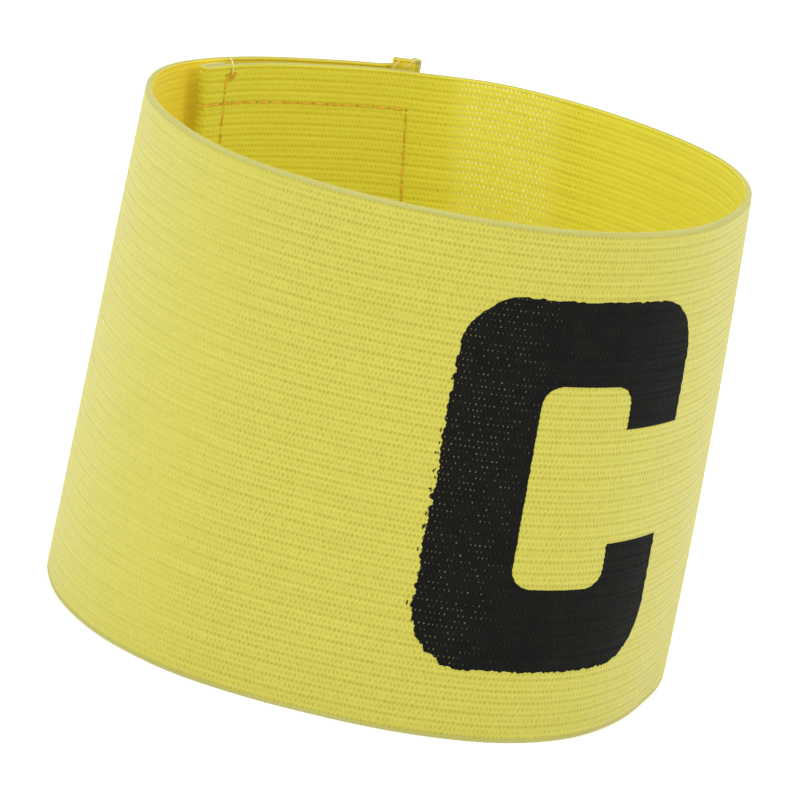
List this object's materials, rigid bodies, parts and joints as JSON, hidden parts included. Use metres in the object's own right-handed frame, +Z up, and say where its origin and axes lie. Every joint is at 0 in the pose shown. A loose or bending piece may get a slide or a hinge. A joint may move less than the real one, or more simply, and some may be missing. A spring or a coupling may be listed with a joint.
{
  "type": "captain armband",
  "caption": "Stretch captain's armband: a ribbed yellow elastic webbing loop, hook and loop closure where its hemmed ends overlap, black letter C printed on the front.",
  "frame": {"origin": "on the ground, under the middle of the armband's bounding box", "axes": "+Z up along the arm's way through the loop; -Y to the front, left of the letter; +X to the right as seen from the front, where the letter's middle lies at 302.8 degrees anticlockwise from +X"},
  "size_m": [0.1002, 0.1012, 0.0812],
  "materials": {
    "elastic_webbing": "ribbed lemon yellow elastic, matte with a faint sheen along the ribs",
    "loop_tape": "brushed loop tape, matte",
    "hook_tape": "nylon hook tape, slightly shiny",
    "printed_ink": "matte black textile ink"
  },
  "bodies": {
    "root": {"webbing_band": "elastic_webbing", "loop_patch": "loop_tape", "hook_patch": "hook_tape", "captain_letter": "printed_ink"}
  },
  "joints": []
}
